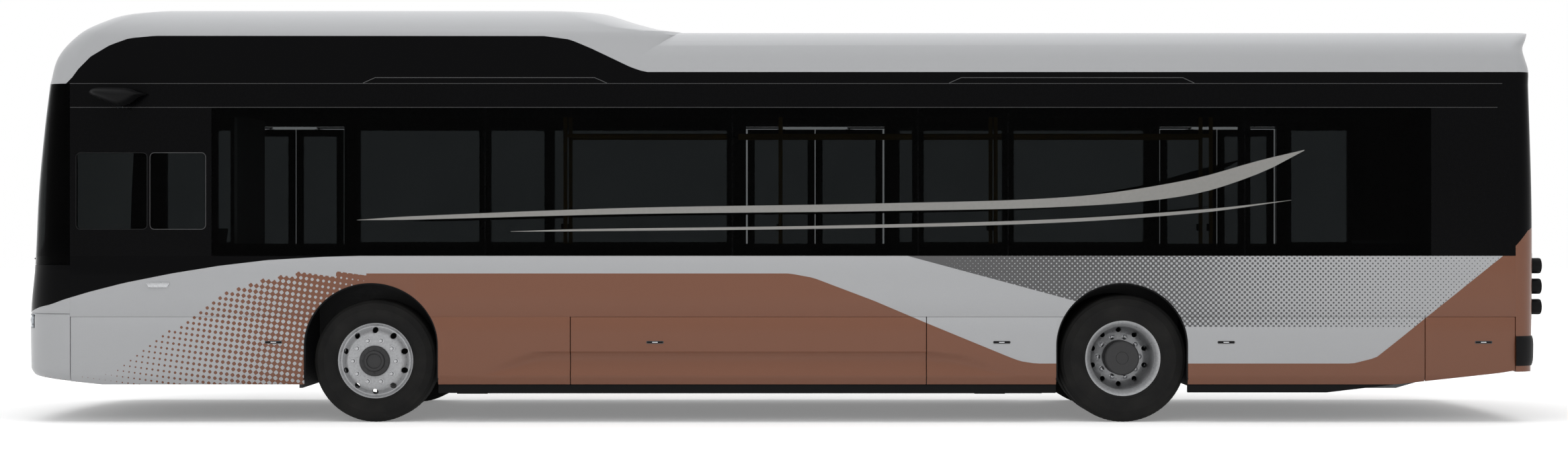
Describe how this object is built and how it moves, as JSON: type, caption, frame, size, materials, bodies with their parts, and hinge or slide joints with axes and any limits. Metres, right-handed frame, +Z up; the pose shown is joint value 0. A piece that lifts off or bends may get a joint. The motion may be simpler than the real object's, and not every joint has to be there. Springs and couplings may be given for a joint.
{
  "type": "city bus",
  "caption": "Low-floor electric city bus with steered front wheels, twin rear wheels, inward-gliding double doors, lift-up side flaps and a rear hatch.",
  "frame": {"origin": "middle of the overall length and width, on the ground under the wheels", "axes": "+X to the rear of the bus, +Y to its right-hand side, where the doors are, +Z up"},
  "size_m": [12.042, 3.03, 3.236],
  "materials": {
    "cast": "rough",
    "cloth": "woven",
    "floor_grey": "matte",
    "glass_clear": "clear",
    "glass_dark": "tinted",
    "lamp_glass": "clear lens",
    "lamp_red": "red lens",
    "paint_black": "gloss",
    "paint_silver": "satin metallic",
    "plastic_black": "matte",
    "plastic_grey": "matte",
    "steel_bright": "brushed",
    "steel_dark": "matte",
    "tyre_rubber": "matte",
    "wheel_silver": "satin"
  },
  "bodies": {
    "bus_body": {"roof_shell": "paint_silver", "side_frame_left": "paint_black", "side_frame_right": "paint_black", "side_panels_left": "paint_silver", "side_panels_right": "paint_silver", "glazing": "glass_dark", "windscreen": "glass_clear", "front_mask": "paint_black", "front_bumper": "paint_silver", "headlamps": "lamp_glass", "rear_wall": "paint_silver", "rear_bumper": "plastic_black", "rear_lamps": "lamp_red", "floor_pan": "floor_grey", "side_sills": "plastic_black", "battery_packs": "steel_dark", "front_axle": "cast", "rear_axle": "cast", "wheel_boxes": "steel_dark", "seats": "cloth", "handrails": "steel_bright", "dashboard": "plastic_black", "cab_partition": "plastic_grey", "destination_display": "plastic_black", "camera_pods": "plastic_black", "wipers": "plastic_black"},
    "knuckle_left": {"knuckle_left": "cast"},
    "front_wheel_left": {"tyre_front_left": "tyre_rubber", "rim_front_left": "wheel_silver"},
    "rear_wheels_left": {"tyres_rear_left": "tyre_rubber", "rims_rear_left": "wheel_silver"},
    "knuckle_right": {"knuckle_right": "cast"},
    "front_wheel_right": {"tyre_front_right": "tyre_rubber", "rim_front_right": "wheel_silver"},
    "rear_wheels_right": {"tyres_rear_right": "tyre_rubber", "rims_rear_right": "wheel_silver"},
    "door_arm_front_a": {"door_column_front_a": "steel_bright"},
    "door_front_a": {"door_leaf_front_a": "paint_black", "door_glass_front_a": "glass_dark"},
    "door_arm_front_b": {"door_column_front_b": "steel_bright"},
    "door_front_b": {"door_leaf_front_b": "paint_black", "door_glass_front_b": "glass_dark"},
    "door_arm_middle_a": {"door_column_middle_a": "steel_bright"},
    "door_middle_a": {"door_leaf_middle_a": "paint_black", "door_glass_middle_a": "glass_dark"},
    "door_arm_middle_b": {"door_column_middle_b": "steel_bright"},
    "door_middle_b": {"door_leaf_middle_b": "paint_black", "door_glass_middle_b": "glass_dark"},
    "door_arm_rear_a": {"door_column_rear_a": "steel_bright"},
    "door_rear_a": {"door_leaf_rear_a": "paint_black", "door_glass_rear_a": "glass_dark"},
    "door_arm_rear_b": {"door_column_rear_b": "steel_bright"},
    "door_rear_b": {"door_leaf_rear_b": "paint_black", "door_glass_rear_b": "glass_dark"},
    "skirt_flap_1": {"skirt_flap_1": "paint_silver"},
    "skirt_flap_2": {"skirt_flap_2": "paint_silver"},
    "skirt_flap_3": {"skirt_flap_3": "paint_silver"},
    "skirt_flap_4": {"skirt_flap_4": "paint_silver"},
    "skirt_flap_5": {"skirt_flap_5": "paint_silver"},
    "rear_hatch": {"rear_hatch": "paint_silver"}
  },
  "joints": [
    {"name": "steer_left", "type": "hinge", "parent": "bus_body", "child": "knuckle_left", "pos_m": [-3.173, -0.9195, 0.481], "axis": [0, 0, 1], "range_deg": [-45, 45]},
    {"name": "front_wheel_left_spin", "type": "hinge", "parent": "knuckle_left", "child": "front_wheel_left", "pos_m": [-3.173, -1.0595, 0.481], "axis": [0, 1, 0], "continuous": true},
    {"name": "rear_wheels_left_spin", "type": "hinge", "parent": "bus_body", "child": "rear_wheels_left", "pos_m": [2.697, -1.0595, 0.499], "axis": [0, 1, 0], "continuous": true},
    {"name": "steer_right", "type": "hinge", "parent": "bus_body", "child": "knuckle_right", "pos_m": [-3.173, 0.9195, 0.481], "axis": [0, 0, 1], "range_deg": [-45, 45]},
    {"name": "front_wheel_right_spin", "type": "hinge", "parent": "knuckle_right", "child": "front_wheel_right", "pos_m": [-3.173, 1.0595, 0.481], "axis": [0, 1, 0], "continuous": true},
    {"name": "rear_wheels_right_spin", "type": "hinge", "parent": "bus_body", "child": "rear_wheels_right", "pos_m": [2.697, 1.0595, 0.499], "axis": [0, 1, 0], "continuous": true},
    {"name": "door_arm_front_a_turn", "type": "hinge", "parent": "bus_body", "child": "door_arm_front_a", "pos_m": [-4.765, 1.195, 1.383], "axis": [0, 0, -1], "range_deg": [0, 90]},
    {"name": "door_front_a_turn", "type": "hinge", "parent": "door_arm_front_a", "child": "door_front_a", "pos_m": [-4.525, 1.195, 1.383], "axis": [0, 0, 1], "range_deg": [0, 180]},
    {"name": "door_arm_front_b_turn", "type": "hinge", "parent": "bus_body", "child": "door_arm_front_b", "pos_m": [-3.855, 1.195, 1.383], "axis": [0, 0, 1], "range_deg": [0, 90]},
    {"name": "door_front_b_turn", "type": "hinge", "parent": "door_arm_front_b", "child": "door_front_b", "pos_m": [-4.095, 1.195, 1.383], "axis": [0, 0, -1], "range_deg": [0, 180]},
    {"name": "door_arm_middle_a_turn", "type": "hinge", "parent": "bus_body", "child": "door_arm_middle_a", "pos_m": [-0.31798, 1.195, 1.383], "axis": [0, 0, -1], "range_deg": [0, 90]},
    {"name": "door_middle_a_turn", "type": "hinge", "parent": "door_arm_middle_a", "child": "door_middle_a", "pos_m": [0.00952, 1.195, 1.383], "axis": [0, 0, 1], "range_deg": [0, 180]},
    {"name": "door_arm_middle_b_turn", "type": "hinge", "parent": "bus_body", "child": "door_arm_middle_b", "pos_m": [0.94202, 1.195, 1.383], "axis": [0, 0, 1], "range_deg": [0, 90]},
    {"name": "door_middle_b_turn", "type": "hinge", "parent": "door_arm_middle_b", "child": "door_middle_b", "pos_m": [0.61452, 1.195, 1.383], "axis": [0, 0, -1], "range_deg": [0, 180]},
    {"name": "door_arm_rear_a_turn", "type": "hinge", "parent": "bus_body", "child": "door_arm_rear_a", "pos_m": [3.355, 1.195, 1.383], "axis": [0, 0, -1], "range_deg": [0, 90]},
    {"name": "door_rear_a_turn", "type": "hinge", "parent": "door_arm_rear_a", "child": "door_rear_a", "pos_m": [3.635, 1.195, 1.383], "axis": [0, 0, 1], "range_deg": [0, 180]},
    {"name": "door_arm_rear_b_turn", "type": "hinge", "parent": "bus_body", "child": "door_arm_rear_b", "pos_m": [4.425, 1.195, 1.383], "axis": [0, 0, 1], "range_deg": [0, 90]},
    {"name": "door_rear_b_turn", "type": "hinge", "parent": "door_arm_rear_b", "child": "door_rear_b", "pos_m": [4.145, 1.195, 1.383], "axis": [0, 0, -1], "range_deg": [0, 180]},
    {"name": "skirt_flap_1_lift", "type": "hinge", "parent": "bus_body", "child": "skirt_flap_1", "pos_m": [-4.673, -1.275, 0.8297], "axis": [-1, 0, 0], "range_deg": [0, 100]},
    {"name": "skirt_flap_2_lift", "type": "hinge", "parent": "bus_body", "child": "skirt_flap_2", "pos_m": [-0.2, -1.275, 0.8297], "axis": [-1, 0, 0], "range_deg": [0, 100]},
    {"name": "skirt_flap_3_lift", "type": "hinge", "parent": "bus_body", "child": "skirt_flap_3", "pos_m": [1.6, -1.275, 0.8297], "axis": [-1, 0, 0], "range_deg": [0, 100]},
    {"name": "skirt_flap_4_lift", "type": "hinge", "parent": "bus_body", "child": "skirt_flap_4", "pos_m": [4, -1.275, 0.8297], "axis": [-1, 0, 0], "range_deg": [0, 100]},
    {"name": "skirt_flap_5_lift", "type": "hinge", "parent": "bus_body", "child": "skirt_flap_5", "pos_m": [5.3, -1.275, 0.8297], "axis": [-1, 0, 0], "range_deg": [0, 100]},
    {"name": "rear_hatch_lift", "type": "hinge", "parent": "bus_body", "child": "rear_hatch", "pos_m": [5.973, 0, 1.42], "axis": [0, -1, 0], "range_deg": [0, 85]}
  ],
  "couplings": [
    {"joint": "steer_right", "follows": "steer_left", "ratio": 1},
    {"joint": "door_front_a_turn", "follows": "door_arm_front_a_turn", "ratio": 2},
    {"joint": "door_arm_front_b_turn", "follows": "door_arm_front_a_turn", "ratio": 1},
    {"joint": "door_front_b_turn", "follows": "door_arm_front_a_turn", "ratio": 2},
    {"joint": "door_middle_a_turn", "follows": "door_arm_middle_a_turn", "ratio": 2},
    {"joint": "door_arm_middle_b_turn", "follows": "door_arm_middle_a_turn", "ratio": 1},
    {"joint": "door_middle_b_turn", "follows": "door_arm_middle_a_turn", "ratio": 2},
    {"joint": "door_rear_a_turn", "follows": "door_arm_rear_a_turn", "ratio": 2},
    {"joint": "door_arm_rear_b_turn", "follows": "door_arm_rear_a_turn", "ratio": 1},
    {"joint": "door_rear_b_turn", "follows": "door_arm_rear_a_turn", "ratio": 2}
  ]
}
